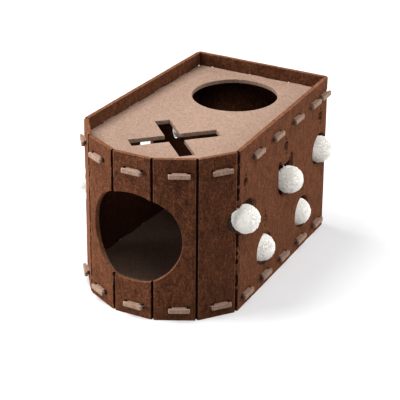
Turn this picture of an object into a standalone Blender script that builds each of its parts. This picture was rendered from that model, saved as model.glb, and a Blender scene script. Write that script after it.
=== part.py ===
"""Felt cat cave: a folded strip of thick felt, two slotted panels and eight hung pompoms.

Metres, +Z up. The entrance faces -Y, and the origin is the middle of the footprint on the floor.
The wall is cut flat, scored, and then folded around the panels, as the real strip is.
"""
import math
import random

import bmesh
import bpy
from mathutils import Matrix, Vector

MM = 0.001

# ---------------------------------------------------------------- driving dimensions
FELT = 8.0 * MM                 # thickness of the wall and of both panels
FIT = 0.3 * MM                  # gap between pieces that touch

WALL_HEIGHT = 300.0 * MM
FACET = 76.0 * MM               # outer width of each of the five front facets
SIDE = 389.2 * MM               # outer length of each straight side
MIDDLE_TURN = math.radians(27.5)    # fold at each end of the middle facet
NEXT_TURN = math.radians(25.5)      # fold between the two outer facets
SIDE_DRAW_IN = math.radians(2.2)    # each side leans in by this towards the back
SEAM_GAP = 0.6 * MM             # between the strip's ends, which meet on the back
SEAM_X = 31.5 * MM              # the seam lies halfway between two of the back's tabs

HINGE = 1.0 * MM                # depth above the inner face at which the felt bends
FRONT_BEND = 2.5 * MM           # bend radius at the hinge depth, front folds
REAR_BEND = 3.0 * MM            # the same, rear corners
REAR_STEPS = 6                  # flats that make up a rear corner's bend

SCORE_FLOOR = 2.0 * MM          # felt left under a front fold's outer groove
SCORE_HALF = 0.95 * MM          # half width of that groove where its walls end
SCORE_SHOULDER = 7.2 * MM       # height at which the groove's walls turn to the bevel
BEVEL_HALF = 1.85 * MM          # half width of the groove with its bevelled edges
REAR_SCORE_HALF = 2.5 * MM      # half width of the inner groove at a rear corner
REAR_SCORE_DEPTH = 3.0 * MM

TOP_PANEL_Z = 272.0 * MM        # mid height of the top panel
FLOOR_PANEL_Z = 21.5 * MM       # mid height of the floor panel
PANEL_CORNER = 4.0 * MM         # cut off each rear corner of a panel

TAB_NECK_HALF = 12.5 * MM
TAB_HEAD_HALF = 18.5 * MM
TAB_HEAD_GAP = 3.5 * MM         # from the wall's outer face to the back of a tab's head
TAB_HEAD_DEPTH = 5.5 * MM
TAB_HEAD_ROUND = 2.5 * MM
SLOT_HALF = 18.8 * MM
SLOT_HALF_HEIGHT = FELT / 2 + FIT

ENTRANCE_Z = 148.0 * MM
ENTRANCE_ASIDE = -2.5 * MM      # from the middle of the front facet, to the left where negative
ENTRANCE_HALF_WIDTH = 88.5 * MM
ENTRANCE_HALF_HEIGHT = 82.0 * MM
ENTRANCE_POWER = 2.12           # 2 would be a plain ellipse, more is squarer

TOP_HOLE_RADIUS = 78.0 * MM
TOP_HOLE_FROM_FRONT = 371.0 * MM
CROSS_FROM_FRONT = 146.0 * MM
CROSS_ARM = 79.0 * MM           # from the middle of the cross to the end of an arm
CROSS_HALF_WIDTH = 13.6 * MM

HOLE_RADIUS = 31.0 * MM         # round holes that the pompoms hang in
EAR_TIP = 43.0 * MM             # height of the ears' tips above a hole's middle
EYELET_RADIUS = 8.5 * MM
DOT_RADIUS = 2.3 * MM
DOT_SPACING = 13.7 * MM         # from an eyelet's middle to the dots above and below it
WRAP_ON_FACET = 21.5 * MM       # reach of the wrapped hole on the facet before the side
WRAP_ON_SIDE = 71.6 * MM        # reach of the wrapped hole on the side
WRAP_HALF_HEIGHT = 27.5 * MM
WRAP_POWER = 2.2
KEY_HALF_WIDTH = 22.5 * MM      # the slot that opens upwards out of the keyhole's round hole
KEY_TOP = 51.0 * MM             # height of the slot's end above the hole's middle

POMPOM_RADIUS = 24.6 * MM       # the packed yarn, without its locks
LOCK_HEIGHT = 2.6 * MM
LOCKS = 28
THREAD_RADIUS = 0.8 * MM

# Stations along a straight side, from its front fold (mm).
TOP_TABS_ON_SIDE = (70.0, 152.0, 238.0, 318.0, 363.0)
FLOOR_TABS_ON_SIDE = (35.0, 113.0, 191.0, 269.0, 347.0)
# Tabs on the back: x of each (mm).
TABS_ON_BACK = (-89.0, -9.0, 72.0)
# Tabs on the five front facets, from each facet's middle (mm), left to right.
TABS_ON_FACETS = (-6.0, -5.0, 3.0, 8.0, 6.0)

# One row for each pompom of a side: its name, the distance of its holes from the front fold, the
# mid height and the kind of the hole that it hangs in, the mid height of the eyelet above, the
# yarn's own distance from the front fold and its mid height, and how far the yarn's middle stands
# out of the wall's outer face (mm).
POMPOM_COLUMNS = ("name", "station", "hole_z", "hole", "eyelet_z", "yarn_station", "yarn_z", "yarn_out")
RIGHT_POMPOMS = (
    ("1", 26.5, 172.5, "wrapped", 235.0, 14.6, 173.5, 6.9),
    ("2", 111.0, 72.0, "round", 131.0, 111.0, 73.5, -6.0),
    ("3", 197.0, 171.0, "eared", 235.0, 197.0, 172.0, 8.0),
    ("4", 278.0, 72.0, "round", 131.0, 278.0, 71.0, -8.5),
    ("5", 352.0, 169.0, "round", 235.0, 352.0, 169.0, 0.0),
)
LEFT_POMPOMS = (
    ("1", 26.5, 170.5, "wrapped", 235.0, 26.5, 169.5, 6.5),
    ("2", 190.5, 150.0, "keyhole", 235.0, 190.5, 144.5, 5.0),
    ("3", 312.0, 180.0, "round", 235.0, 312.0, 176.0, 0.0),
)

BROWN_FELT = (0.085, 0.040, 0.024, 1.0)
BEIGE_FELT = (0.56, 0.40, 0.32, 1.0)
WHITE_YARN = (0.86, 0.85, 0.82, 1.0)


# ---------------------------------------------------------------- scene and materials
for old in list(bpy.data.objects):
    bpy.data.objects.remove(old, do_unlink=True)

parts = bpy.data.collections.new("felt_cat_cave")
bpy.context.scene.collection.children.link(parts)


def material(name, color, roughness):
    """One matt textile finish."""
    made = bpy.data.materials.new(name)
    made.use_nodes = True
    shader = made.node_tree.nodes["Principled BSDF"]
    shader.inputs["Base Color"].default_value = color
    shader.inputs["Roughness"].default_value = roughness
    shader.inputs["Metallic"].default_value = 0.0
    made.diffuse_color = color
    return made


brown_felt = material("brown_felt", BROWN_FELT, 0.95)
beige_felt = material("beige_felt", BEIGE_FELT, 0.95)
white_yarn = material("white_yarn", WHITE_YARN, 0.9)


# ---------------------------------------------------------------- plan of the folded wall
# The legs run anticlockwise seen from above: the back from the seam to its left corner, the left
# side, five facets, the right side, and the rest of the back. Outward is to the right of a leg.
SIDE_TURN = math.radians(90) + SIDE_DRAW_IN - MIDDLE_TURN - NEXT_TURN
REAR_TURN = math.radians(90) - SIDE_DRAW_IN
TURNS = (REAR_TURN, SIDE_TURN, NEXT_TURN, MIDDLE_TURN, MIDDLE_TURN, NEXT_TURN, SIDE_TURN, REAR_TURN)
BENDS = (REAR_BEND,) + (FRONT_BEND,) * 6 + (REAR_BEND,)
FIRST_LEG, LEFT_LEG, FIRST_FACET_LEG, MIDDLE_FACET_LEG, RIGHT_LEG, LAST_LEG = 0, 1, 2, 4, 7, 8

FACET_RUN = FACET * (0.5 + math.cos(MIDDLE_TURN) + math.cos(MIDDLE_TURN + NEXT_TURN))
BACK_HALF = FACET_RUN - SIDE * math.sin(SIDE_DRAW_IN)
DEPTH = FACET * (math.sin(MIDDLE_TURN) + math.sin(MIDDLE_TURN + NEXT_TURN)) + SIDE * math.cos(SIDE_DRAW_IN)
LEG_LENGTHS = (BACK_HALF + SEAM_X, SIDE) + (FACET,) * 5 + (SIDE, BACK_HALF - SEAM_X)


class Leg:
    """One flat stretch of the wall. Distances along it start at its first outer corner."""

    def __init__(self, start, heading, length):
        self.start = start
        self.along = Vector((math.cos(heading), math.sin(heading)))
        self.out = Vector((self.along.y, -self.along.x))
        self.length = length
        self.low = 0.0          # distance at which the flat stretch starts
        self.high = length      # distance at which it ends
        self.strip_low = 0.0    # the strip's own coordinate at low

    def point(self, distance, out_of_face):
        """Plan point at a distance along the leg and this far out of the wall's outer face."""
        return self.start + self.along * distance + self.out * out_of_face

    def strip_at(self, distance):
        """Coordinate along the flat strip."""
        return self.strip_low + distance - self.low


def make_legs():
    legs = []
    corner = Vector((SEAM_X, DEPTH / 2))
    heading = math.pi
    for index, length in enumerate(LEG_LENGTHS):
        legs.append(Leg(corner, heading, length))
        corner = corner + legs[-1].along * length
        if index < len(TURNS):
            heading += TURNS[index]
    legs[0].low = SEAM_GAP / 2
    legs[-1].high -= SEAM_GAP / 2
    for index, (turn, bend) in enumerate(zip(TURNS, BENDS)):
        setback = (FELT - HINGE + bend) * math.tan(turn / 2)
        before, after = legs[index], legs[index + 1]
        before.high = before.length - setback
        after.low = setback
        after.strip_low = before.strip_low + (before.high - before.low) + bend * turn
    return legs


LEGS = make_legs()
STRIP_LENGTH = LEGS[-1].strip_low + LEGS[-1].high - LEGS[-1].low


def folded(strip, lift):
    """Plan point of the strip's coordinate, lifted this far from the inner face."""
    for index, leg in enumerate(LEGS):
        strip_high = leg.strip_at(leg.high)
        if strip <= strip_high or index == len(LEGS) - 1:
            return leg.point(leg.low + strip - leg.strip_low, lift - FELT)
        bend, turn = BENDS[index], TURNS[index]
        if strip < strip_high + bend * turn:
            middle = leg.point(leg.high, -(FELT - HINGE + bend))
            spoke = leg.out.copy()
            spoke.rotate(Matrix.Rotation((strip - strip_high) / bend, 2))
            return middle + spoke * (bend + lift - HINGE)
    return None


# ---------------------------------------------------------------- flat outlines
def rectangle(x, y, half_width, half_height):
    return [(x - half_width, y - half_height), (x + half_width, y - half_height),
            (x + half_width, y + half_height), (x - half_width, y + half_height)]


def oval(x, y, half_width, half_height, sides, power=2.0):
    """An ellipse, or a squarer oval where the power is above 2."""
    points = []
    for step in range(sides):
        angle = 2 * math.pi * (step + 0.5) / sides
        across = math.copysign(abs(math.cos(angle)) ** (2 / power), math.cos(angle))
        up = math.copysign(abs(math.sin(angle)) ** (2 / power), math.sin(angle))
        points.append((x + half_width * across, y + half_height * up))
    return points


def eared_hole(x, y):
    """A round hole with two upright ears, like the head of any cat."""
    base = HOLE_RADIUS
    ear = [(base, 0.33 * base), (base, 0.85 * EAR_TIP), (0.88 * base, 0.99 * EAR_TIP),
           (0.70 * base, EAR_TIP), (0.62 * base, 0.88 * EAR_TIP), (0.43 * base, 1.02 * base),
           (0.15 * base, 0.98 * base)]
    left_ear = [(-across, up) for across, up in reversed(ear)]
    bowl = []
    for step in range(1, 20):
        angle = math.radians(161 + 218 * step / 20)
        bowl.append((base * math.cos(angle), base * math.sin(angle)))
    return [(x + across, y + up) for across, up in ear + left_ear + bowl]


def keyhole(x, y):
    """A round hole that opens upwards into a slot with rounded corners."""
    half, top = KEY_HALF_WIDTH, KEY_TOP
    slot = [(half, top - 0.35 * half), (0.9 * half, top - 0.1 * half), (0.65 * half, top)]
    slot += [(-across, up) for across, up in reversed(slot)]
    meeting = math.acos(half / HOLE_RADIUS)
    bowl = []
    for step in range(21):
        angle = math.pi - meeting + (math.pi + 2 * meeting) * step / 20
        bowl.append((HOLE_RADIUS * math.cos(angle), HOLE_RADIUS * math.sin(angle)))
    return [(x + across, y + up) for across, up in slot + bowl]


def cross_outline(y):
    """Two crossing bars at 45 degrees."""
    arm, half = CROSS_ARM, CROSS_HALF_WIDTH
    square = [(arm, -half), (arm, half), (half, half), (half, arm), (-half, arm), (-half, half),
              (-arm, half), (-arm, -half), (-half, -half), (-half, -arm), (half, -arm), (half, -half)]
    turn = math.sqrt(0.5)
    return [((a - b) * turn, y + (a + b) * turn) for a, b in square]


def welded_mesh(name, curve):
    """The closed mesh of a curve with its caps welded on."""
    drawn = bpy.data.objects.new(name + "_outline", curve)
    parts.objects.link(drawn)
    bpy.context.view_layer.update()
    graph = bpy.context.evaluated_depsgraph_get()
    mesh = bpy.data.meshes.new_from_object(drawn.evaluated_get(graph))
    bpy.data.objects.remove(drawn, do_unlink=True)
    work = bmesh.new()
    work.from_mesh(mesh)
    bmesh.ops.remove_doubles(work, verts=work.verts, dist=0.01 * MM)
    bmesh.ops.recalc_face_normals(work, faces=work.faces)
    work.to_mesh(mesh)
    work.free()
    mesh.name = name
    return mesh


def sheet_object(name, outlines, finish):
    """A flat sheet of felt cut to the outlines, first the edge and then its holes."""
    curve = bpy.data.curves.new(name, "CURVE")
    curve.dimensions = "2D"
    curve.fill_mode = "BOTH"
    curve.extrude = FELT / 2
    for outline in outlines:
        spline = curve.splines.new("POLY")
        spline.points.add(len(outline) - 1)
        for point, (x, y) in zip(spline.points, outline):
            point.co = (x, y, 0.0, 1.0)
        spline.use_cyclic_u = True
    mesh = welded_mesh(name, curve)
    mesh.materials.clear()
    mesh.materials.append(finish)
    piece = bpy.data.objects.new(name, mesh)
    parts.objects.link(piece)
    return piece


# ---------------------------------------------------------------- places on the wall
def on_side(leg_index, from_front_fold):
    """Distance along the left or the right side's leg of a place this far from its front fold."""
    return from_front_fold if leg_index == RIGHT_LEG else SIDE - from_front_fold


def tab_places(stations_on_side):
    """Leg index and distance along the leg of every tab of a panel."""
    places = [(LEFT_LEG, on_side(LEFT_LEG, station * MM)) for station in reversed(stations_on_side)]
    for facet, offset in enumerate(TABS_ON_FACETS):
        places.append((FIRST_FACET_LEG + facet, FACET / 2 + offset * MM))
    places += [(RIGHT_LEG, on_side(RIGHT_LEG, station * MM)) for station in stations_on_side]
    for x in reversed(TABS_ON_BACK):
        if x * MM > SEAM_X:
            places.append((LAST_LEG, BACK_HALF - x * MM))
        else:
            places.append((FIRST_LEG, SEAM_X - x * MM))
    return places


def pompom_rows():
    """Every pompom's side, leg index and row, with the row's columns by name."""
    sides = (("left", LEFT_LEG, LEFT_POMPOMS), ("right", RIGHT_LEG, RIGHT_POMPOMS))
    for side_name, leg_index, table in sides:
        for row in table:
            yield side_name, leg_index, dict(zip(POMPOM_COLUMNS, row))


# ---------------------------------------------------------------- the wall strip
def slot_outlines():
    outlines = []
    for height, stations in ((TOP_PANEL_Z, TOP_TABS_ON_SIDE), (FLOOR_PANEL_Z, FLOOR_TABS_ON_SIDE)):
        for leg_index, distance in tab_places(stations):
            along = LEGS[leg_index].strip_at(distance)
            outlines.append(rectangle(along, height, SLOT_HALF, SLOT_HALF_HEIGHT))
    return outlines


def wrapped_hole(leg_index, height):
    """The hole that goes round the fold between a side and the facet next to it."""
    far = LEGS[leg_index].strip_at(on_side(leg_index, WRAP_ON_SIDE))
    if leg_index == RIGHT_LEG:
        near = LEGS[RIGHT_LEG - 1].strip_at(FACET - WRAP_ON_FACET)
    else:
        near = LEGS[FIRST_FACET_LEG].strip_at(WRAP_ON_FACET)
    return oval((far + near) / 2, height, abs(far - near) / 2, WRAP_HALF_HEIGHT, 40, WRAP_POWER)


def pompom_hole_outlines():
    outlines = []
    for _, leg_index, row in pompom_rows():
        along = LEGS[leg_index].strip_at(on_side(leg_index, row["station"] * MM))
        height = row["hole_z"] * MM
        eyelet = row["eyelet_z"] * MM
        if row["hole"] == "wrapped":
            outlines.append(wrapped_hole(leg_index, height))
        elif row["hole"] == "eared":
            outlines.append(eared_hole(along, height))
        elif row["hole"] == "keyhole":
            outlines.append(keyhole(along, height))
        else:
            outlines.append(oval(along, height, HOLE_RADIUS, HOLE_RADIUS, 30))
        outlines.append(oval(along, eyelet, EYELET_RADIUS, EYELET_RADIUS, 14))
        for dot in (eyelet - DOT_SPACING, eyelet + DOT_SPACING):
            outlines.append(oval(along, dot, DOT_RADIUS, DOT_RADIUS, 8))
    return outlines


def score_lift(from_fold, floor_half):
    """Height of the outer face across a front fold's groove."""
    if from_fold >= BEVEL_HALF:
        return FELT
    if from_fold >= SCORE_HALF:
        share = (from_fold - SCORE_HALF) / (BEVEL_HALF - SCORE_HALF)
        return SCORE_SHOULDER + share * (FELT - SCORE_SHOULDER)
    if from_fold >= floor_half:
        share = (from_fold - floor_half) / (SCORE_HALF - floor_half)
        return SCORE_FLOOR + share * (SCORE_SHOULDER - SCORE_FLOOR)
    return SCORE_FLOOR


def fold_lines():
    """Strip coordinates at which the flat mesh is split, so that no face runs over a fold."""
    lines = []
    for index, (turn, bend) in enumerate(zip(TURNS, BENDS)):
        start = LEGS[index].strip_at(LEGS[index].high)
        arc = turn * bend
        middle = start + arc / 2
        if bend == REAR_BEND:
            lines += [start + arc * step / REAR_STEPS for step in range(REAR_STEPS + 1)]
            lines += [middle - REAR_SCORE_HALF, middle + REAR_SCORE_HALF]
        else:
            lines += [start, middle, start + arc]
            lines += [middle + sign * half for sign in (-1, 1) for half in (SCORE_HALF, BEVEL_HALF)]
    return lines


def scored(strip, lift):
    """The lift of a point after the grooves are cut."""
    for index, (turn, bend) in enumerate(zip(TURNS, BENDS)):
        arc = turn * bend
        from_fold = abs(strip - LEGS[index].strip_at(LEGS[index].high) - arc / 2)
        if bend == REAR_BEND and lift < FELT / 2 and from_fold < REAR_SCORE_HALF:
            return REAR_SCORE_DEPTH * (1 - from_fold / REAR_SCORE_HALF)
        if bend != REAR_BEND and lift > FELT / 2 and from_fold < BEVEL_HALF:
            return score_lift(from_fold, arc / 2)
    return lift


def make_wall():
    edge = rectangle(STRIP_LENGTH / 2, WALL_HEIGHT / 2, STRIP_LENGTH / 2, WALL_HEIGHT / 2)
    entrance_middle = LEGS[MIDDLE_FACET_LEG].strip_at(FACET / 2 + ENTRANCE_ASIDE)
    entrance = oval(entrance_middle, ENTRANCE_Z, ENTRANCE_HALF_WIDTH, ENTRANCE_HALF_HEIGHT, 72,
                    ENTRANCE_POWER)
    wall = sheet_object("wall", [edge, entrance] + slot_outlines() + pompom_hole_outlines(), brown_felt)
    work = bmesh.new()
    work.from_mesh(wall.data)
    for line in fold_lines():
        everything = list(work.verts) + list(work.edges) + list(work.faces)
        bmesh.ops.bisect_plane(work, geom=everything, dist=0.000002, plane_co=(line, 0, 0),
                               plane_no=(1, 0, 0))
    for vertex in work.verts:
        strip, height, lift = vertex.co.x, vertex.co.y, vertex.co.z + FELT / 2
        plan = folded(strip, scored(strip, lift))
        vertex.co = (plan.x, plan.y, height)
    work.to_mesh(wall.data)
    work.free()
    return wall


# ---------------------------------------------------------------- the panels and their tabs
def tab_outline(leg, station):
    """A T-shaped tab that starts at the panel's edge and passes through the wall."""
    neck, head, corner = TAB_NECK_HALF, TAB_HEAD_HALF, TAB_HEAD_ROUND
    back = TAB_HEAD_GAP
    face = TAB_HEAD_GAP + TAB_HEAD_DEPTH
    edge = -FELT - FIT
    half = [(neck, edge), (neck, back), (head, back), (head, face - corner),
            (head - 0.3 * corner, face - 0.3 * corner), (head - corner, face)]
    left = [leg.point(station - across, out) for across, out in half]
    right = [leg.point(station + across, out) for across, out in reversed(half)]
    return left + right


def panel_corner(index):
    """Points of the panel's edge at the wall's fold of this index."""
    before, after = LEGS[index], LEGS[index + 1]
    inset = FELT + FIT
    back_off = inset * math.tan(TURNS[index] / 2)
    if BENDS[index] != REAR_BEND:
        return [after.point(back_off, -inset)]
    back_off += PANEL_CORNER
    return [before.point(before.length - back_off, -inset), after.point(back_off, -inset)]


def panel_edge(stations_on_side):
    """The panel's outline, from its rear left corner and all the way round."""
    places = tab_places(stations_on_side)
    outline = []
    for leg_index in list(range(LEFT_LEG, LAST_LEG + 1)) + [FIRST_LEG]:
        if leg_index != FIRST_LEG:
            outline += panel_corner(leg_index - 1)
        for place_leg, distance in places:
            if place_leg == leg_index:
                outline += tab_outline(LEGS[leg_index], distance)
    return [tuple(point) for point in outline]


def make_panel(name, stations_on_side, holes, height):
    panel = sheet_object(name, [panel_edge(stations_on_side)] + holes, beige_felt)
    panel.location = (0.0, 0.0, height)
    return panel


# ---------------------------------------------------------------- pompoms
def spread_directions(count):
    """Directions spread evenly over a ball."""
    golden = math.pi * (3 - math.sqrt(5))
    for step in range(count):
        z = 1 - 2 * (step + 0.5) / count
        ring = math.sqrt(1 - z * z)
        yield Vector((ring * math.cos(golden * step), ring * math.sin(golden * step), z))


def yarn_ball(seed):
    """A lumpy ball with short three-sided locks raised from it."""
    dice = random.Random(seed)
    ball = bmesh.new()
    bmesh.ops.create_icosphere(ball, subdivisions=3, radius=POMPOM_RADIUS)
    for vertex in ball.verts:
        vertex.co *= 1 + dice.uniform(-0.02, 0.02)
    ball.faces.ensure_lookup_table()
    chosen = []
    for direction in spread_directions(LOCKS):
        free = [face for face in ball.faces if face not in chosen]
        chosen.append(max(free, key=lambda face: face.calc_center_median().normalized().dot(direction)))
    tips = bmesh.ops.poke(ball, faces=chosen)["verts"]
    for tip in tips:
        out = tip.co.normalized()
        tip.co += out * LOCK_HEIGHT * dice.uniform(0.7, 1.0)
        tip.co += out.orthogonal() * dice.uniform(-0.5, 0.5) * LOCK_HEIGHT
    return ball


def thread_mesh(name, route):
    """A thin round thread along the route."""
    curve = bpy.data.curves.new(name, "CURVE")
    curve.dimensions = "3D"
    curve.bevel_depth = THREAD_RADIUS
    curve.bevel_resolution = 1
    curve.use_fill_caps = True
    curve.resolution_u = 2
    spline = curve.splines.new("BEZIER")
    spline.bezier_points.add(len(route) - 1)
    for knot, point in zip(spline.bezier_points, route):
        knot.co = point
        knot.handle_left_type = "AUTO"
        knot.handle_right_type = "AUTO"
    return welded_mesh(name, curve)


def thread_route(row):
    """Where a pompom's thread runs: distance from the front fold, out of the outer face, height.

    It comes out of the dot under the eyelet, runs down the inner face, and turns out under the
    top edge of the hole to the middle of the yarn's top.
    """
    dot_z = row["eyelet_z"] * MM - DOT_SPACING
    tops = {"wrapped": WRAP_HALF_HEIGHT, "keyhole": KEY_TOP}
    hole_top = row["hole_z"] * MM + tops.get(row["hole"], HOLE_RADIUS)
    yarn_z = row["yarn_z"] * MM
    yarn_out = row["yarn_out"] * MM
    inside = -FELT - FIT - THREAD_RADIUS
    under_edge = min(hole_top - 2.2 * THREAD_RADIUS, yarn_z + 0.97 * POMPOM_RADIUS)
    turning = min(-0.6 * FELT, (yarn_out - FELT) / 2)
    hung = row["station"] * MM
    aside = row["yarn_station"] * MM
    return [(hung, -0.7 * FELT, dot_z),
            (hung, inside - THREAD_RADIUS / 4, dot_z - THREAD_RADIUS),
            (hung, inside - THREAD_RADIUS / 2, (dot_z + hole_top) / 2),
            (hung, inside, hole_top - THREAD_RADIUS),
            ((hung + aside) / 2, turning, under_edge),
            (aside, yarn_out, yarn_z + 0.86 * POMPOM_RADIUS)]


def make_pompom(side_name, leg_index, row, cutters):
    """A ball of yarn, with the thread that it hangs by joined to it."""
    leg = LEGS[leg_index]
    name = "pompom_" + side_name + "_" + row["name"]
    distance = on_side(leg_index, row["yarn_station"] * MM)
    middle = leg.point(distance, row["yarn_out"] * MM).to_3d()
    middle.z = row["yarn_z"] * MM

    route = []
    for from_fold, out_of_face, height in thread_route(row):
        spot = leg.point(on_side(leg_index, from_fold), out_of_face).to_3d()
        spot.z = height
        route.append(spot - middle)
    thread = bpy.data.objects.new(name + "_thread", thread_mesh(name + "_thread", route))
    cutters.objects.link(thread)
    thread.location = middle
    thread.hide_render = True
    thread.display_type = "WIRE"

    ball = yarn_ball(side_name + row["name"])
    mesh = bpy.data.meshes.new(name)
    ball.to_mesh(mesh)
    ball.free()
    mesh.materials.append(white_yarn)
    mesh.shade_smooth()
    pompom = bpy.data.objects.new(name, mesh)
    parts.objects.link(pompom)
    pompom.location = middle
    join = pompom.modifiers.new("thread", "BOOLEAN")
    join.operation = "UNION"
    join.solver = "EXACT"
    join.object = thread
    return pompom


# ---------------------------------------------------------------- the whole object
def main():
    cutters = bpy.data.collections.new("cutters")
    bpy.context.scene.collection.children.link(cutters)
    front = -DEPTH / 2
    top_hole = oval(0.0, front + TOP_HOLE_FROM_FRONT, TOP_HOLE_RADIUS, TOP_HOLE_RADIUS, 64)
    cross = cross_outline(front + CROSS_FROM_FRONT)
    pieces = [
        make_wall(),
        make_panel("top_panel", TOP_TABS_ON_SIDE, [top_hole, cross], TOP_PANEL_Z),
        make_panel("floor_panel", FLOOR_TABS_ON_SIDE, [], FLOOR_PANEL_Z),
    ]
    for side_name, leg_index, row in pompom_rows():
        pieces.append(make_pompom(side_name, leg_index, row, cutters))
    origin = bpy.data.objects.new("cave_origin", None)
    parts.objects.link(origin)
    for piece in pieces:
        piece.parent = origin


main()
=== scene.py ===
"""The looks of the felt cat cave: soft cut felt, tabs, scored folds and trimmed yarn pompoms.

Metres, +Z up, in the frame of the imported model. The entrance faces -Y.
"""
import math
import random

import bmesh
import bpy
from mathutils import Matrix, Quaternion, Vector, noise


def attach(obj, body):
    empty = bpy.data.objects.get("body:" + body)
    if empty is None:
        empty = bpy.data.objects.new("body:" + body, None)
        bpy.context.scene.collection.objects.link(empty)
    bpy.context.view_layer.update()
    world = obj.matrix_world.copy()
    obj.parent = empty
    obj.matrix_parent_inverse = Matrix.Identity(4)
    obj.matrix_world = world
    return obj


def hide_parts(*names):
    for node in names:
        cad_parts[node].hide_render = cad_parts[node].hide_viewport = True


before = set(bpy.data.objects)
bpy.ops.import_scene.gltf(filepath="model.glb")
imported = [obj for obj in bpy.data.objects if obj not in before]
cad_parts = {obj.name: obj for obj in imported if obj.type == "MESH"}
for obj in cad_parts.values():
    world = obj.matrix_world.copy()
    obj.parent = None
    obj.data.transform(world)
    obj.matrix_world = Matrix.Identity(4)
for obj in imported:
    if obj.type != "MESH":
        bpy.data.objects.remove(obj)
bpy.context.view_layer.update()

MM = 0.001

# ---------------------------------------------------------------- sizes, as in the solids
FELT = 8.0 * MM
FIT = 0.3 * MM
WALL_HEIGHT = 300.0 * MM
FACET = 76.0 * MM
SIDE = 389.2 * MM
MIDDLE_TURN = math.radians(27.5)
NEXT_TURN = math.radians(25.5)
SIDE_DRAW_IN = math.radians(2.2)
SEAM_GAP = 0.6 * MM
SEAM_X = 31.5 * MM
HINGE = 1.0 * MM
FRONT_BEND = 2.5 * MM
REAR_BEND = 3.0 * MM
REAR_STEPS = 12
SCORE_FLOOR = 2.0 * MM
SCORE_HALF = 0.95 * MM
SCORE_SHOULDER = 7.2 * MM
BEVEL_HALF = 1.85 * MM
REAR_SCORE_HALF = 2.5 * MM
REAR_SCORE_DEPTH = 3.0 * MM
TOP_PANEL_Z = 272.0 * MM
FLOOR_PANEL_Z = 21.5 * MM
PANEL_CORNER = 4.0 * MM
TAB_NECK_HALF = 12.5 * MM
TAB_HEAD_HALF = 18.5 * MM
TAB_HEAD_GAP = 3.5 * MM
TAB_HEAD_DEPTH = 5.5 * MM
TAB_HEAD_ROUND = 2.5 * MM
TAB_CORNER = ((0.0, 1.0), (0.12, 0.55), (0.3, 0.3), (0.55, 0.12), (1.0, 0.0))   # in TAB_HEAD_ROUND
SLOT_HALF = 18.8 * MM
SLOT_HALF_HEIGHT = FELT / 2 + FIT
ENTRANCE_Z = 148.0 * MM
ENTRANCE_ASIDE = -2.5 * MM
ENTRANCE_HALF_WIDTH = 88.5 * MM
ENTRANCE_HALF_HEIGHT = 82.0 * MM
ENTRANCE_POWER = 2.12
TOP_HOLE_RADIUS = 78.0 * MM
TOP_HOLE_FROM_FRONT = 371.0 * MM
CROSS_FROM_FRONT = 146.0 * MM
CROSS_ARM = 79.0 * MM
CROSS_HALF_WIDTH = 13.6 * MM
HOLE_RADIUS = 31.0 * MM
EAR_TIP = 43.0 * MM
EYELET_RADIUS = 8.5 * MM
DOT_RADIUS = 2.3 * MM
DOT_SPACING = 13.7 * MM
WRAP_ON_FACET = 21.5 * MM
WRAP_ON_SIDE = 71.6 * MM
WRAP_HALF_HEIGHT = 27.5 * MM
WRAP_POWER = 2.2
KEY_HALF_WIDTH = 22.5 * MM
KEY_TOP = 51.0 * MM
KEY_CORNER = ((1.0, 0.35), (0.97, 0.2), (0.9, 0.1), (0.8, 0.03), (0.65, 0.0))   # in KEY_HALF_WIDTH
THREAD_RADIUS = 0.8 * MM
THREAD_START = 0.7 * FELT       # how deep in its dot a thread begins
THREAD_TURN = 0.6 * FELT        # how deep in the felt a thread comes out of its hole
THREAD_SLACK = 2.2 * THREAD_RADIUS
THREAD_OVER_YARN = 23.9 * MM
THREAD_ON_YARN = 21.2 * MM
POMPOM_RADIUS = 25.2 * MM       # over the cut yarn ends

EAR_POINTS = (                  # across in hole radii, up in hole radii or ear tips
    ("hole", 1.0, 0.33), ("tip", 1.0, 0.85), ("tip", 0.88, 0.99), ("tip", 0.70, 1.0),
    ("tip", 0.62, 0.88), ("hole", 0.43, 1.02), ("hole", 0.15, 0.98),
)
EARED_BOWL_START = 161.0        # degrees
EARED_BOWL_SPAN = 218.0
EARED_BOWL_STEPS = 36
KEYHOLE_BOWL_STEPS = 40
ENTRANCE_SIDES = 120
TOP_HOLE_SIDES = 120
WRAPPED_HOLE_SIDES = 72
ROUND_HOLE_SIDES = 56
EYELET_SIDES = 28
DOT_SIDES = 14

TOP_TABS_ON_SIDE = (70.0, 152.0, 238.0, 318.0, 363.0)
FLOOR_TABS_ON_SIDE = (35.0, 113.0, 191.0, 269.0, 347.0)
TABS_ON_BACK = (-89.0, -9.0, 72.0)
TABS_ON_FACETS = (-6.0, -5.0, 3.0, 8.0, 6.0)      # off each facet's middle
# In millimetres: stations from the front fold, heights, and how far out of the face the yarn is.
POMPOM_COLUMNS = ("name", "station", "hole_z", "hole", "eyelet_z", "yarn_station", "yarn_z", "yarn_out")
RIGHT_POMPOMS = (
    ("1", 26.5, 172.5, "wrapped", 235.0, 14.6, 173.5, 6.9),
    ("2", 111.0, 72.0, "round", 131.0, 111.0, 73.5, -6.0),
    ("3", 197.0, 171.0, "eared", 235.0, 197.0, 172.0, 8.0),
    ("4", 278.0, 72.0, "round", 131.0, 278.0, 71.0, -8.5),
    ("5", 352.0, 169.0, "round", 235.0, 352.0, 169.0, 0.0),
)
LEFT_POMPOMS = (
    ("1", 26.5, 170.5, "wrapped", 235.0, 26.5, 169.5, 6.5),
    ("2", 190.5, 150.0, "keyhole", 235.0, 190.5, 144.5, 5.0),
    ("3", 312.0, 180.0, "round", 235.0, 312.0, 176.0, 0.0),
)

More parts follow.
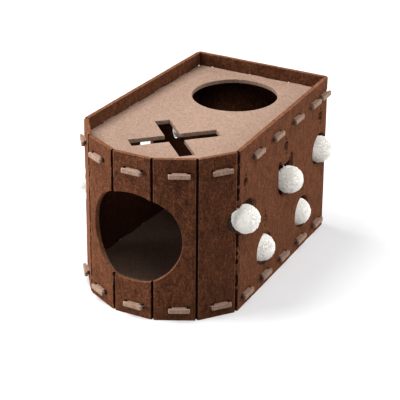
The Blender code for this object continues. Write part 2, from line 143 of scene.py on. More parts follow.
# ---------------------------------------------------------------- looks
CUT_ROUND = 1.0 * MM            # the soft rounding of every cut edge
GRID = 13.0 * MM                # spacing of the felt's own points
SAME_POINT = 0.005 * MM         # points closer than this are one
ON_LINE = 0.002 * MM            # points closer than this lie on a splitting line
FLAT_NORMAL = 0.85              # a face that points up or down less than this belongs to a cut
NORMAL_WEIGHT = 50
WAVE = 0.45 * MM                # how far the felt's faces waver
WAVE_PITCH = 22.0               # waves in a metre, about
RIPPLE_PITCH = 75.0
RIPPLE_SHARE = 0.4
EDGE_WAVE = 0.25 * MM           # how far a cut wavers
EDGE_WAVE_PITCH = 120.0
EDGE_WAVE_SHIFT = Vector((7.0, 3.0, 1.0))
NOISE_SEED = 3                  # unseeded, a vector noise differs from run to run
WALL_WAVE, TOP_PANEL_WAVE, FLOOR_PANEL_WAVE = 1.7, 4.3, 9.1     # the level at which each reads the noise
PANEL_GRID_MARGIN = Vector((20.0, 10.0)) * MM

PATCH_SCALE = 135.0             # blotches of the felt, drawn out upwards
PATCH_STRETCH = (1.0, 1.0, 0.42)
PATCH_RANGE = (0.3, 0.7)
PATCH_STRENGTH = 0.62
CLUMP_SCALE = 420.0
CLUMP_SHARE = 0.55
FIBRE_SHARE = 0.45
FIBRES = (                      # each noise's stretch and turn
    ((260.0, 260.0, 1700.0), (0.5, 0.3, 0.2)),
    ((1700.0, 260.0, 300.0), (0.2, 0.6, 0.9)),
    ((300.0, 1700.0, 260.0), (0.8, 0.1, 0.4)),
)
TONE_STOPS = (0.40, 0.52, 0.64)
STRAY_RANGE = (0.68, 0.80)      # how strong a fibre is where it starts and ends to be a light one
FELT_RELIEF = 0.5 * MM
FELT_ROUGHNESS = 0.95
FELT_SPECULAR = 0.15
FELT_SHEEN_ROUGHNESS = 0.6

BROWN_SHEEN = (0.62, 0.27, 0.15, 1.0)
BEIGE_SHEEN = (1.0, 0.80, 0.68, 1.0)
FELT_LOOK_COLUMNS = ("name", "dark", "mid", "light", "stray", "bump", "mottle", "sheen", "sheen_tint")
FELT_LOOKS = (
    ("brown_felt_face", (0.025, 0.0092, 0.0044, 1.0), (0.062, 0.0260, 0.0134, 1.0),
     (0.125, 0.0600, 0.0345, 1.0), (0.19, 0.118, 0.082, 1.0), 0.6, 1.0, 0.25, BROWN_SHEEN),
    ("brown_felt_cut", (0.050, 0.0230, 0.0130, 1.0), (0.108, 0.0540, 0.0325, 1.0),
     (0.180, 0.0950, 0.0600, 1.0), (0.25, 0.155, 0.110, 1.0), 0.8, 0.9, 0.25, BROWN_SHEEN),
    # painted shade: the scored groove's floor is much darker than the felt's face and has no sheen, for
    # the shadow inside each groove
    ("brown_felt_score", (0.010, 0.0036, 0.0018, 1.0), (0.024, 0.0088, 0.0044, 1.0),
     (0.050, 0.0210, 0.0110, 1.0), (0.09, 0.045, 0.028, 1.0), 0.6, 1.0, 0.0, BROWN_SHEEN),
    ("beige_felt_face", (0.1630, 0.1105, 0.0835, 1.0), (0.2310, 0.1610, 0.1250, 1.0),
     (0.3000, 0.2215, 0.1790, 1.0), (0.3700, 0.2935, 0.2490, 1.0), 0.4, 0.30, 0.15, BEIGE_SHEEN),
    # painted shade: the panels' cut edges are a little darker and greyer than their faces, for the shade
    # that falls on the edges
    ("beige_felt_cut", (0.1425, 0.0955, 0.0720, 1.0), (0.2030, 0.1415, 0.1090, 1.0),
     (0.2680, 0.1990, 0.1585, 1.0), (0.3280, 0.2605, 0.2200, 1.0), 0.7, 0.35, 0.15, BEIGE_SHEEN),
)
YARN_SHADE = (0.66, 0.645, 0.615, 1.0)
YARN_LIGHT = (0.93, 0.915, 0.885, 1.0)
YARN_STOPS = (0.3, 0.65)
YARN_GRAIN = 900.0
YARN_RELIEF = 0.2 * MM
YARN_BUMP = 0.4
YARN_ROUGHNESS = 0.9
YARN_SPECULAR = 0.2
YARN_SHEEN = 0.25
YARN_SHEEN_ROUGHNESS = 0.4

POMPOM_MESHES = "abc"           # the seeds of the pompoms' own meshes
TUFTS = 3400
TUFT_RADIUS = 0.58 * MM
TUFT_SIDES = 4
TUFT_SPREAD = 0.035             # how far a tuft's place strays
TUFT_LEAN = 0.16
TUFT_LENGTHS = (-0.045, 0.035)  # of the pompom's radius
TUFT_SINK = 0.02
TUFT_THICKNESS = (0.8, 1.25)
TUFT_RINGS = ((0.0, 0.9), (0.72, 1.15), (0.95, 0.75))   # share of the length, width
TUFT_ROOT = 0.84 * POMPOM_RADIUS
YARN_CORE = 0.9 * POMPOM_RADIUS
CORE_SUBDIVISIONS = 4
CORE_LUMP, CORE_LUMP_PITCH = 0.04, 60.0
TRIM_WAVES = ((0.035, 1.6), (0.030, 5.0))               # depth and pitch
THREAD_CURVE_STEPS = 8
THREAD_ROUND_STEPS = 3

FLOOR_HALF = 8.0
FLOOR_DROP = 0.2 * MM
FLOOR_COLOUR = (0.44, 0.44, 0.445, 1.0)
FLOOR_GLOW = 0.22
FLOOR_ROUGHNESS = 0.9
FLOOR_SPECULAR = 0.1
WHITE_LIGHT = (1.0, 1.0, 1.0, 1.0)
STUDIO_LIGHT = 0.14
# Degrees round from the front and up, metres away and across, watts.
LIGHT_COLUMNS = ("name", "azimuth", "elevation", "distance", "size", "energy")
LIGHTS = (
    ("left_front", -46.0, 7.0, 3.2, 1.3, 103.0),
    ("right_rear", 130.0, 16.0, 3.0, 1.3, 55.0),
    ("overhead", -78.0, 60.0, 3.0, 2.2, 104.0),
    ("front_right", 55.0, 50.0, 3.0, 1.6, 50.0),
)

CAMERA_AZIMUTH = 28.238
CAMERA_ELEVATION = 25.454
CAMERA_ROLL = 0.435
CAMERA_DISTANCE = 2.840
CAMERA_RIGHT = 0.1151           # the view's centre, from the middle of the front edge's foot
CAMERA_UP = 0.1969
FOCAL_PIXELS = 1655.8
PHOTO_PIXELS = 400
SENSOR_MM = 36.0
CAMERA_REACH = 50.0


# ---------------------------------------------------------------- plan of the folded wall
SIDE_TURN = math.radians(90) + SIDE_DRAW_IN - MIDDLE_TURN - NEXT_TURN
REAR_TURN = math.radians(90) - SIDE_DRAW_IN
TURNS = (REAR_TURN, SIDE_TURN, NEXT_TURN, MIDDLE_TURN, MIDDLE_TURN, NEXT_TURN, SIDE_TURN, REAR_TURN)
BENDS = (REAR_BEND,) + (FRONT_BEND,) * 6 + (REAR_BEND,)
FIRST_LEG, LEFT_LEG, FIRST_FACET_LEG, MIDDLE_FACET_LEG, RIGHT_LEG, LAST_LEG = 0, 1, 2, 4, 7, 8

FACET_RUN = FACET * (0.5 + math.cos(MIDDLE_TURN) + math.cos(MIDDLE_TURN + NEXT_TURN))
BACK_HALF = FACET_RUN - SIDE * math.sin(SIDE_DRAW_IN)
FACET_DEPTH = FACET * (math.sin(MIDDLE_TURN) + math.sin(MIDDLE_TURN + NEXT_TURN))
DEPTH = FACET_DEPTH + SIDE * math.cos(SIDE_DRAW_IN)
LEG_LENGTHS = (BACK_HALF + SEAM_X, SIDE) + (FACET,) * 5 + (SIDE, BACK_HALF - SEAM_X)
FRONT = -DEPTH / 2


class Leg:
    """One flat stretch of the wall. Distances along it start at its first outer corner."""

    def __init__(self, start, heading, length):
        self.start = start
        self.along = Vector((math.cos(heading), math.sin(heading)))
        self.out = Vector((self.along.y, -self.along.x))
        self.length = length
        self.low = 0.0
        self.high = length
        self.strip_low = 0.0

    def point(self, distance, out_of_face):
        return self.start + self.along * distance + self.out * out_of_face

    def strip_at(self, distance):
        return self.strip_low + distance - self.low


def make_legs():
    legs = []
    corner = Vector((SEAM_X, DEPTH / 2))
    heading = math.pi
    for index, length in enumerate(LEG_LENGTHS):
        legs.append(Leg(corner, heading, length))
        corner = corner + legs[-1].along * length
        if index < len(TURNS):
            heading += TURNS[index]
    legs[0].low = SEAM_GAP / 2
    legs[-1].high -= SEAM_GAP / 2
    for index, (turn, bend) in enumerate(zip(TURNS, BENDS)):
        setback = (FELT - HINGE + bend) * math.tan(turn / 2)
        before, after = legs[index], legs[index + 1]
        before.high = before.length - setback
        after.low = setback
        after.strip_low = before.strip_low + (before.high - before.low) + bend * turn
    return legs


noise.seed_set(NOISE_SEED)
LEGS = make_legs()
STRIP_LENGTH = LEGS[-1].strip_low + LEGS[-1].high - LEGS[-1].low


def folded(strip, lift):
    """Plan point of the strip's coordinate, lifted this far from the inner face."""
    for index, leg in enumerate(LEGS):
        strip_high = leg.strip_at(leg.high)
        if strip <= strip_high or index == len(LEGS) - 1:
            return leg.point(leg.low + strip - leg.strip_low, lift - FELT)
        bend, turn = BENDS[index], TURNS[index]
        if strip < strip_high + bend * turn:
            middle = leg.point(leg.high, -(FELT - HINGE + bend))
            spoke = leg.out.copy()
            spoke.rotate(Matrix.Rotation((strip - strip_high) / bend, 2))
            return middle + spoke * (bend + lift - HINGE)


# ---------------------------------------------------------------- flat outlines
def rectangle(x, y, half_width, half_height):
    return [(x - half_width, y - half_height), (x + half_width, y - half_height),
            (x + half_width, y + half_height), (x - half_width, y + half_height)]


def oval(x, y, half_width, half_height, sides, power=2.0):
    """An ellipse, or a squarer oval where the power is above 2."""
    points = []
    for step in range(sides):
        angle = 2 * math.pi * (step + 0.5) / sides
        across = math.copysign(abs(math.cos(angle)) ** (2 / power), math.cos(angle))
        up = math.copysign(abs(math.sin(angle)) ** (2 / power), math.sin(angle))
        points.append((x + half_width * across, y + half_height * up))
    return points


def eared_hole(x, y):
    """A round hole with two upright ears, like the head of any cat."""
    base = HOLE_RADIUS
    heights = {"hole": base, "tip": EAR_TIP}
    ear = [(across * base, up * heights[unit]) for unit, across, up in EAR_POINTS]
    left_ear = [(-across, up) for across, up in reversed(ear)]
    bowl = []
    for step in range(1, EARED_BOWL_STEPS):
        angle = math.radians(EARED_BOWL_START + EARED_BOWL_SPAN * step / EARED_BOWL_STEPS)
        bowl.append((base * math.cos(angle), base * math.sin(angle)))
    return [(x + across, y + up) for across, up in ear + left_ear + bowl]


def keyhole(x, y):
    """A round hole that opens upwards into a slot with rounded corners."""
    half, top = KEY_HALF_WIDTH, KEY_TOP
    slot = [(across * half, top - down * half) for across, down in KEY_CORNER]
    slot += [(-across, up) for across, up in reversed(slot)]
    meeting = math.acos(half / HOLE_RADIUS)
    bowl = []
    for step in range(KEYHOLE_BOWL_STEPS + 1):
        angle = math.pi - meeting + (math.pi + 2 * meeting) * step / KEYHOLE_BOWL_STEPS
        bowl.append((HOLE_RADIUS * math.cos(angle), HOLE_RADIUS * math.sin(angle)))
    return [(x + across, y + up) for across, up in slot + bowl]


def cross_outline(y):
    """Two crossing bars at 45 degrees."""
    arm, half = CROSS_ARM, CROSS_HALF_WIDTH
    square = [(arm, -half), (arm, half), (half, half), (half, arm), (-half, arm), (-half, half),
              (-arm, half), (-arm, -half), (-half, -half), (-half, -arm), (half, -arm), (half, -half)]
    turn = math.sqrt(0.5)
    return [((a - b) * turn, y + (a + b) * turn) for a, b in square]


# ---------------------------------------------------------------- places on the wall
def on_side(leg_index, from_front_fold):
    return from_front_fold if leg_index == RIGHT_LEG else SIDE - from_front_fold


def tab_places(stations_on_side):
    """Leg index and distance along the leg of every tab of a panel."""
    places = [(LEFT_LEG, on_side(LEFT_LEG, station * MM)) for station in reversed(stations_on_side)]
    for facet, offset in enumerate(TABS_ON_FACETS):
        places.append((FIRST_FACET_LEG + facet, FACET / 2 + offset * MM))
    places += [(RIGHT_LEG, on_side(RIGHT_LEG, station * MM)) for station in stations_on_side]
    for x in reversed(TABS_ON_BACK):
        if x * MM > SEAM_X:
            places.append((LAST_LEG, BACK_HALF - x * MM))
        else:
            places.append((FIRST_LEG, SEAM_X - x * MM))
    return places


def pompom_rows():
    """Every pompom's side, leg index and row, with the row's columns by name."""
    sides = (("left", LEFT_LEG, LEFT_POMPOMS), ("right", RIGHT_LEG, RIGHT_POMPOMS))
    for side_name, leg_index, table in sides:
        for row in table:
            yield side_name, leg_index, dict(zip(POMPOM_COLUMNS, row))


def slot_outlines():
    outlines = []
    for height, stations in ((TOP_PANEL_Z, TOP_TABS_ON_SIDE), (FLOOR_PANEL_Z, FLOOR_TABS_ON_SIDE)):
        for leg_index, distance in tab_places(stations):
            along = LEGS[leg_index].strip_at(distance)
            outlines.append(rectangle(along, height, SLOT_HALF, SLOT_HALF_HEIGHT))
    return outlines


def wrapped_hole(leg_index, height):
    """The hole that goes round the fold between a side and the facet next to it."""
    far = LEGS[leg_index].strip_at(on_side(leg_index, WRAP_ON_SIDE))
    if leg_index == RIGHT_LEG:
        near = LEGS[RIGHT_LEG - 1].strip_at(FACET - WRAP_ON_FACET)
    else:
        near = LEGS[FIRST_FACET_LEG].strip_at(WRAP_ON_FACET)
    half_width = abs(far - near) / 2
    return oval((far + near) / 2, height, half_width, WRAP_HALF_HEIGHT, WRAPPED_HOLE_SIDES, WRAP_POWER)


def pompom_hole_outlines():
    outlines = []
    for _, leg_index, row in pompom_rows():
        along = LEGS[leg_index].strip_at(on_side(leg_index, row["station"] * MM))
        height = row["hole_z"] * MM
        eyelet = row["eyelet_z"] * MM
        if row["hole"] == "wrapped":
            outlines.append(wrapped_hole(leg_index, height))
        elif row["hole"] == "eared":
            outlines.append(eared_hole(along, height))
        elif row["hole"] == "keyhole":
            outlines.append(keyhole(along, height))
        else:
            outlines.append(oval(along, height, HOLE_RADIUS, HOLE_RADIUS, ROUND_HOLE_SIDES))
        outlines.append(oval(along, eyelet, EYELET_RADIUS, EYELET_RADIUS, EYELET_SIDES))
        for dot in (eyelet - DOT_SPACING, eyelet + DOT_SPACING):
            outlines.append(oval(along, dot, DOT_RADIUS, DOT_RADIUS, DOT_SIDES))
    return outlines


# ---------------------------------------------------------------- materials
def node_chain(name):
    """A material with its node tree, its Principled shader and a helper that adds nodes."""
    made = bpy.data.materials.new(name)
    made.use_nodes = True
    tree = made.node_tree
    shader = tree.nodes["Principled BSDF"]

    def add(kind, **settings):
        node = tree.nodes.new(kind)
        for key, value in settings.items():
            if key in node.inputs:
                node.inputs[key].default_value = value
            else:
                setattr(node, key, value)
        return node

    return made, tree, shader, add


def set_range(node, source, low, high):
    node.inputs["From Min"].default_value, node.inputs["From Max"].default_value = source
    node.inputs["To Min"].default_value = low
    node.inputs["To Max"].default_value = high


def felt_material(look):
    """Needle felt: mottled fibres in several tones, with stray light ones and a fibrous bump."""
    made, tree, shader, add = node_chain(look["name"])
    link = tree.links.new
    place = add("ShaderNodeTexCoord").outputs["Object"]

    patches = add("ShaderNodeTexNoise", Scale=PATCH_SCALE, Detail=5.0, Roughness=0.72, Distortion=1.1)
    clumps = add("ShaderNodeTexNoise", Scale=CLUMP_SCALE, Detail=4.0, Roughness=0.7, Distortion=1.2)
    drawn_out = add("ShaderNodeMapping", Scale=PATCH_STRETCH)
    link(place, drawn_out.inputs["Vector"])
    link(drawn_out.outputs["Vector"], patches.inputs["Vector"])
    link(place, clumps.inputs["Vector"])

    strands = []
    for stretch, turn in FIBRES:
        mapped = add("ShaderNodeMapping", Scale=stretch, Rotation=turn)
        fibre = add("ShaderNodeTexNoise", Scale=1.0, Detail=2.0, Roughness=0.5, Distortion=0.8)
        link(place, mapped.inputs["Vector"])
        link(mapped.outputs["Vector"], fibre.inputs["Vector"])
        strands.append(fibre.outputs["Fac"])
    first = add("ShaderNodeMath", operation="MAXIMUM")
    link(strands[0], first.inputs[0])
    link(strands[1], first.inputs[1])
    second = add("ShaderNodeMath", operation="MAXIMUM")
    link(first.outputs[0], second.inputs[0])
    link(strands[2], second.inputs[1])

    weave = add("ShaderNodeMath", operation="MULTIPLY_ADD")
    link(clumps.outputs["Fac"], weave.inputs[0])
    weave.inputs[1].default_value = CLUMP_SHARE
    scaled = add("ShaderNodeMath", operation="MULTIPLY")
    link(second.outputs[0], scaled.inputs[0])
    scaled.inputs[1].default_value = FIBRE_SHARE
    link(scaled.outputs[0], weave.inputs[2])

    tones = add("ShaderNodeValToRGB")
    ramp = tones.color_ramp
    ramp.elements[0].position = TONE_STOPS[0]
    ramp.elements[0].color = look["dark"]
    ramp.elements[1].position = TONE_STOPS[2]
    ramp.elements[1].color = look["light"]
    middle = ramp.elements.new(TONE_STOPS[1])
    middle.color = look["mid"]
    link(weave.outputs[0], tones.inputs["Fac"])

    shade = add("ShaderNodeMapRange")
    mottle = PATCH_STRENGTH * look["mottle"]
    set_range(shade, PATCH_RANGE, 1.0 - mottle, 1.0 + mottle)
    link(patches.outputs["Fac"], shade.inputs["Value"])
    toned = add("ShaderNodeVectorMath", operation="SCALE")
    link(tones.outputs["Color"], toned.inputs[0])
    link(shade.outputs["Result"], toned.inputs["Scale"])

    pick = add("ShaderNodeMapRange")
    set_range(pick, STRAY_RANGE, 0.0, 1.0)
    link(second.outputs[0], pick.inputs["Value"])
    mixed = add("ShaderNodeMix", data_type="RGBA")
    link(pick.outputs["Result"], mixed.inputs["Factor"])
    link(toned.outputs["Vector"], mixed.inputs[6])
    mixed.inputs[7].default_value = look["stray"]
    link(mixed.outputs[2], shader.inputs["Base Color"])

    relief = add("ShaderNodeBump", Strength=look["bump"], Distance=FELT_RELIEF)
    link(weave.outputs[0], relief.inputs["Height"])
    link(relief.outputs["Normal"], shader.inputs["Normal"])
    shader.inputs["Roughness"].default_value = FELT_ROUGHNESS
    shader.inputs["Specular IOR Level"].default_value = FELT_SPECULAR
    shader.inputs["Sheen Weight"].default_value = look["sheen"]
    shader.inputs["Sheen Roughness"].default_value = FELT_SHEEN_ROUGHNESS
    shader.inputs["Sheen Tint"].default_value = look["sheen_tint"]
    return made


def yarn_material():
    made, tree, shader, add = node_chain("white_yarn_look")
    link = tree.links.new
    place = add("ShaderNodeTexCoord").outputs["Object"]
    grain = add("ShaderNodeTexNoise", Scale=YARN_GRAIN, Detail=3.0, Roughness=0.6)
    link(place, grain.inputs["Vector"])
    tones = add("ShaderNodeValToRGB")
    for element, stop, tone in zip(tones.color_ramp.elements, YARN_STOPS, (YARN_SHADE, YARN_LIGHT)):
        element.position = stop
        element.color = tone
    link(grain.outputs["Fac"], tones.inputs["Fac"])
    link(tones.outputs["Color"], shader.inputs["Base Color"])
    relief = add("ShaderNodeBump", Strength=YARN_BUMP, Distance=YARN_RELIEF)
    link(grain.outputs["Fac"], relief.inputs["Height"])
    link(relief.outputs["Normal"], shader.inputs["Normal"])
    shader.inputs["Roughness"].default_value = YARN_ROUGHNESS
    shader.inputs["Specular IOR Level"].default_value = YARN_SPECULAR
    shader.inputs["Sheen Weight"].default_value = YARN_SHEEN
    shader.inputs["Sheen Roughness"].default_value = YARN_SHEEN_ROUGHNESS
    return made


BROWN, BROWN_CUT, BROWN_SCORE_SHADE, BEIGE, BEIGE_CUT_SHADE = [
    felt_material(dict(zip(FELT_LOOK_COLUMNS, row))) for row in FELT_LOOKS]
WHITE = yarn_material()
FACE_SLOT, CUT_SLOT, SCORE_SHADE_SLOT = 0, 1, 2


# ---------------------------------------------------------------- felt meshes
def soft_sheet(name, outlines, low, high):
    """A flat felt sheet in a bmesh, centred on z = 0, with rounded cuts and a grid of points."""
    curve = bpy.data.curves.new(name, "CURVE")
    curve.dimensions = "2D"
    curve.fill_mode = "BOTH"
    curve.extrude = FELT / 2 - CUT_ROUND
    curve.bevel_depth = CUT_ROUND
    curve.bevel_resolution = 1
    curve.offset = -CUT_ROUND
    for outline in outlines:
        spline = curve.splines.new("POLY")
        spline.points.add(len(outline) - 1)
        for point, (x, y) in zip(spline.points, outline):
            point.co = (x, y, 0.0, 1.0)
        spline.use_cyclic_u = True
    drawn = bpy.data.objects.new(name + "_drawn", curve)
    bpy.context.scene.collection.objects.link(drawn)
    bpy.context.view_layer.update()
    mesh = bpy.data.meshes.new_from_object(drawn.evaluated_get(bpy.context.evaluated_depsgraph_get()))
    bpy.data.objects.remove(drawn, do_unlink=True)
    work = bmesh.new()
    work.from_mesh(mesh)
    bpy.data.meshes.remove(mesh)
    bmesh.ops.remove_doubles(work, verts=work.verts, dist=SAME_POINT)
    bmesh.ops.recalc_face_normals(work, faces=work.faces)
    for axis in (0, 1):
        count = round((high[axis] - low[axis]) / GRID)
        for step in range(1, count):
            cut_at = low[axis] + (high[axis] - low[axis]) * step / count
            split(work, axis, cut_at)
    return work


def split(work, axis, at):
    everything = list(work.verts) + list(work.edges) + list(work.faces)
    spot = [0.0, 0.0, 0.0]
    spot[axis] = at
    way = [0.0, 0.0, 0.0]
    way[axis] = 1.0
    bmesh.ops.bisect_plane(work, geom=everything, dist=ON_LINE, plane_co=spot, plane_no=way)


def mark_cuts(work):
    """Gives every face that isn't part of the sheet's two flat sides the cut felt's slot."""
    work.normal_update()
    for face in work.faces:
        face.material_index = FACE_SLOT if abs(face.normal.z) > FLAT_NORMAL else CUT_SLOT
        face.smooth = True


def waver(work, seed):
    """Moves the points by a slow noise, so that the felt isn't ruler flat."""
    for vertex in work.verts:
        spot = Vector((vertex.co.x, vertex.co.y, seed))
        lift = noise.noise(spot * WAVE_PITCH) * WAVE
        lift += noise.noise(spot * RIPPLE_PITCH) * WAVE * RIPPLE_SHARE
        side = noise.noise_vector(spot * EDGE_WAVE_PITCH + EDGE_WAVE_SHIFT) * EDGE_WAVE
        vertex.co += Vector((side.x, side.y, lift))


def finished_piece(name, work, finishes, node):
    mesh = bpy.data.meshes.new(name)
    work.to_mesh(mesh)
    work.free()
    for finish in finishes:
        mesh.materials.append(finish)
    piece = bpy.data.objects.new(name, mesh)
    bpy.context.scene.collection.objects.link(piece)
    weighted = piece.modifiers.new("weighted_normals", "WEIGHTED_NORMAL")
    weighted.weight = NORMAL_WEIGHT
    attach(piece, "root")
    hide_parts(node)
    return piece


def score_lift(from_fold, floor_half):
    """Height of the outer face across a front fold's groove."""
    if from_fold >= BEVEL_HALF:
        return FELT
    if from_fold >= SCORE_HALF:
        share = (from_fold - SCORE_HALF) / (BEVEL_HALF - SCORE_HALF)
        return SCORE_SHOULDER + share * (FELT - SCORE_SHOULDER)
    if from_fold >= floor_half:
        share = (from_fold - floor_half) / (SCORE_HALF - floor_half)
        return SCORE_FLOOR + share * (SCORE_SHOULDER - SCORE_FLOOR)
    return SCORE_FLOOR


def fold_places():
    """For each fold: its middle on the strip, the arc's length, and whether it is a rear corner."""
    places = []
    for index, (turn, bend) in enumerate(zip(TURNS, BENDS)):
        arc = turn * bend
        places.append((LEGS[index].strip_at(LEGS[index].high) + arc / 2, arc, bend == REAR_BEND))
    return places


def fold_lines():
    lines = []
    for middle, arc, rear in fold_places():
        if rear:
            lines += [middle - arc / 2 + arc * step / REAR_STEPS for step in range(REAR_STEPS + 1)]
            lines += [middle - REAR_SCORE_HALF, middle + REAR_SCORE_HALF]
        else:
            lines += [middle - arc / 2, middle, middle + arc / 2]
            lines += [middle + sign * half for sign in (-1, 1) for half in (SCORE_HALF, BEVEL_HALF)]
    return lines


def scored(strip, lift):
    """The lift of a point after the grooves are cut, in proportion to where it lay in the felt."""
    for middle, arc, rear in fold_places():
        from_fold = abs(strip - middle)
        if rear and from_fold < REAR_SCORE_HALF:
            floor = REAR_SCORE_DEPTH * (1 - from_fold / REAR_SCORE_HALF)
            return FELT - (FELT - lift) * (FELT - floor) / FELT
        if not rear and from_fold < BEVEL_HALF:
            return lift * score_lift(from_fold, arc / 2) / FELT
    return lift


def make_wall():
    edge = rectangle(STRIP_LENGTH / 2, WALL_HEIGHT / 2, STRIP_LENGTH / 2, WALL_HEIGHT / 2)
    entrance_middle = LEGS[MIDDLE_FACET_LEG].strip_at(FACET / 2 + ENTRANCE_ASIDE)
    entrance = oval(entrance_middle, ENTRANCE_Z, ENTRANCE_HALF_WIDTH, ENTRANCE_HALF_HEIGHT,
                    ENTRANCE_SIDES, ENTRANCE_POWER)
    outlines = [edge, entrance] + slot_outlines() + pompom_hole_outlines()
    work = soft_sheet("wall_felt", outlines, (0.0, 0.0), (STRIP_LENGTH, WALL_HEIGHT))
    for line in fold_lines():
        split(work, 0, line)
    mark_cuts(work)
    folds = [middle for middle, arc, rear in fold_places() if not rear]
    for face in work.faces:
        across = face.calc_center_median()
        from_fold = min(abs(across.x - fold) for fold in folds)
        # Painted shade and painted highlight: a groove's floor takes the dark score felt for the shadow
        # in the groove, and its shoulders take the lighter cut felt for the highlight line along each
        # side.
        if across.z > 0 and from_fold < BEVEL_HALF:
            face.material_index = SCORE_SHADE_SLOT if from_fold < SCORE_HALF else CUT_SLOT
    waver(work, WALL_WAVE)
    for vertex in work.verts:
        strip, height, lift = vertex.co.x, vertex.co.y, vertex.co.z + FELT / 2
        plan = folded(strip, scored(strip, lift))
        vertex.co = (plan.x, plan.y, height)
    return finished_piece("wall_felt", work, (BROWN, BROWN_CUT, BROWN_SCORE_SHADE), "wall")


# ---------------------------------------------------------------- panels
def tab_outline(leg, station):
    """A T-shaped tab that starts at the panel's edge and passes through the wall."""
    neck, head, corner = TAB_NECK_HALF, TAB_HEAD_HALF, TAB_HEAD_ROUND
    back = TAB_HEAD_GAP
    face = TAB_HEAD_GAP + TAB_HEAD_DEPTH
    edge = -FELT - FIT
    half = [(neck, edge), (neck, back), (head, back)]
    half += [(head - aside * corner, face - down * corner) for aside, down in TAB_CORNER]
    left = [leg.point(station - across, out) for across, out in half]
    right = [leg.point(station + across, out) for across, out in reversed(half)]
    return left + right


def panel_corner(index):
    """Points of the panel's edge at the wall's fold of this index."""
    before, after = LEGS[index], LEGS[index + 1]
    inset = FELT + FIT
    back_off = inset * math.tan(TURNS[index] / 2)
    if BENDS[index] != REAR_BEND:
        return [after.point(back_off, -inset)]
    back_off += PANEL_CORNER
    return [before.point(before.length - back_off, -inset), after.point(back_off, -inset)]


def panel_edge(stations_on_side):
    """The panel's outline, from its rear left corner and all the way round."""
    places = tab_places(stations_on_side)
    outline = []
    for leg_index in list(range(LEFT_LEG, LAST_LEG + 1)) + [FIRST_LEG]:
        if leg_index != FIRST_LEG:
            outline += panel_corner(leg_index - 1)
        for place_leg, distance in places:
            if place_leg == leg_index:
                outline += tab_outline(LEGS[leg_index], distance)
    return [tuple(point) for point in outline]


def make_panel(node, stations_on_side, holes, height, seed):
    reach = Vector((BACK_HALF, DEPTH / 2)) + PANEL_GRID_MARGIN
    work = soft_sheet(node + "_felt", [panel_edge(stations_on_side)] + holes, -reach, reach)
    mark_cuts(work)
    waver(work, seed)
    bmesh.ops.translate(work, verts=work.verts, vec=(0.0, 0.0, height))
    return finished_piece(node + "_felt", work, (BEIGE, BEIGE_CUT_SHADE), node)


# ---------------------------------------------------------------- pompoms
def spread_directions(count):
    golden = math.pi * (3 - math.sqrt(5))
    for step in range(count):
        z = 1 - 2 * (step + 0.5) / count
        ring = math.sqrt(1 - z * z)
        yield Vector((ring * math.cos(golden * step), ring * math.sin(golden * step), z))


def add_tube(work, rings):
    """A closed tube through rings of points, with a point at its tip."""
    rows = [[work.verts.new(point) for point in ring] for ring in rings[:-1]]
    tip = work.verts.new(rings[-1])
    for low, high in zip(rows, rows[1:]):
        for side in range(len(low)):
            after = (side + 1) % len(low)
            work.faces.new((low[side], low[after], high[after], high[side]))
    top = rows[-1]
    for side in range(len(top)):
        work.faces.new((top[side], top[(side + 1) % len(top)], tip))
    work.faces.new(list(reversed(rows[0])))


def make_yarn_mesh(name, seed):
    """A trimmed pompom: a core, and short blunt ends of yarn that stand out all over it."""
    dice = random.Random(seed)
    work = bmesh.new()
    bmesh.ops.create_icosphere(work, subdivisions=CORE_SUBDIVISIONS, radius=YARN_CORE)
    offset = Vector((dice.uniform(0, 50), dice.uniform(0, 50), dice.uniform(0, 50)))
    for vertex in work.verts:
        vertex.co *= 1 + CORE_LUMP * noise.noise(vertex.co * CORE_LUMP_PITCH + offset)
    for direction in spread_directions(TUFTS):
        way = (direction + Vector([dice.gauss(0, TUFT_SPREAD) for _ in range(3)])).normalized()
        lean = (way + Vector([dice.gauss(0, TUFT_LEAN) for _ in range(3)])).normalized()
        trimmed = 1 + sum(depth * noise.noise(way * pitch + offset) for depth, pitch in TRIM_WAVES)
        reach = POMPOM_RADIUS * (trimmed - TUFT_SINK + dice.uniform(*TUFT_LENGTHS))
        root = way * TUFT_ROOT
        length = reach - TUFT_ROOT
        side = lean.orthogonal().normalized()
        other = lean.cross(side)
        spin = dice.uniform(0, 2 * math.pi)
        thick = TUFT_RADIUS * dice.uniform(*TUFT_THICKNESS)
        rings = []
        for share, wide in TUFT_RINGS:
            centre = root + lean * length * share
            ring = []
            for step in range(TUFT_SIDES):
                angle = spin + 2 * math.pi * step / TUFT_SIDES
                ring.append(centre + (side * math.cos(angle) + other * math.sin(angle)) * thick * wide)
            rings.append(ring)
        rings.append(root + lean * length)
        add_tube(work, rings)
    mesh = bpy.data.meshes.new(name)
    work.to_mesh(mesh)
    work.free()
    mesh.materials.append(WHITE)
    mesh.shade_smooth()
    return mesh


def thread_route(row):
    """Where a pompom's thread runs: distance from the front fold, out of the outer face, height."""
    dot_z = row["eyelet_z"] * MM - DOT_SPACING
    tops = {"wrapped": WRAP_HALF_HEIGHT, "keyhole": KEY_TOP}
    hole_top = row["hole_z"] * MM + tops.get(row["hole"], HOLE_RADIUS)
    yarn_z = row["yarn_z"] * MM
    yarn_out = row["yarn_out"] * MM
    inside = -FELT - FIT - THREAD_RADIUS
    under_edge = min(hole_top - THREAD_SLACK, yarn_z + THREAD_OVER_YARN)
    turning = min(-THREAD_TURN, (yarn_out - FELT) / 2)
    hung = row["station"] * MM
    aside = row["yarn_station"] * MM
    return [(hung, -THREAD_START, dot_z),
            (hung, inside - THREAD_RADIUS / 4, dot_z - THREAD_RADIUS),
            (hung, inside - THREAD_RADIUS / 2, (dot_z + hole_top) / 2),
            (hung, inside, hole_top - THREAD_RADIUS),
            ((hung + aside) / 2, turning, under_edge),
            (aside, yarn_out, yarn_z + THREAD_ON_YARN)]


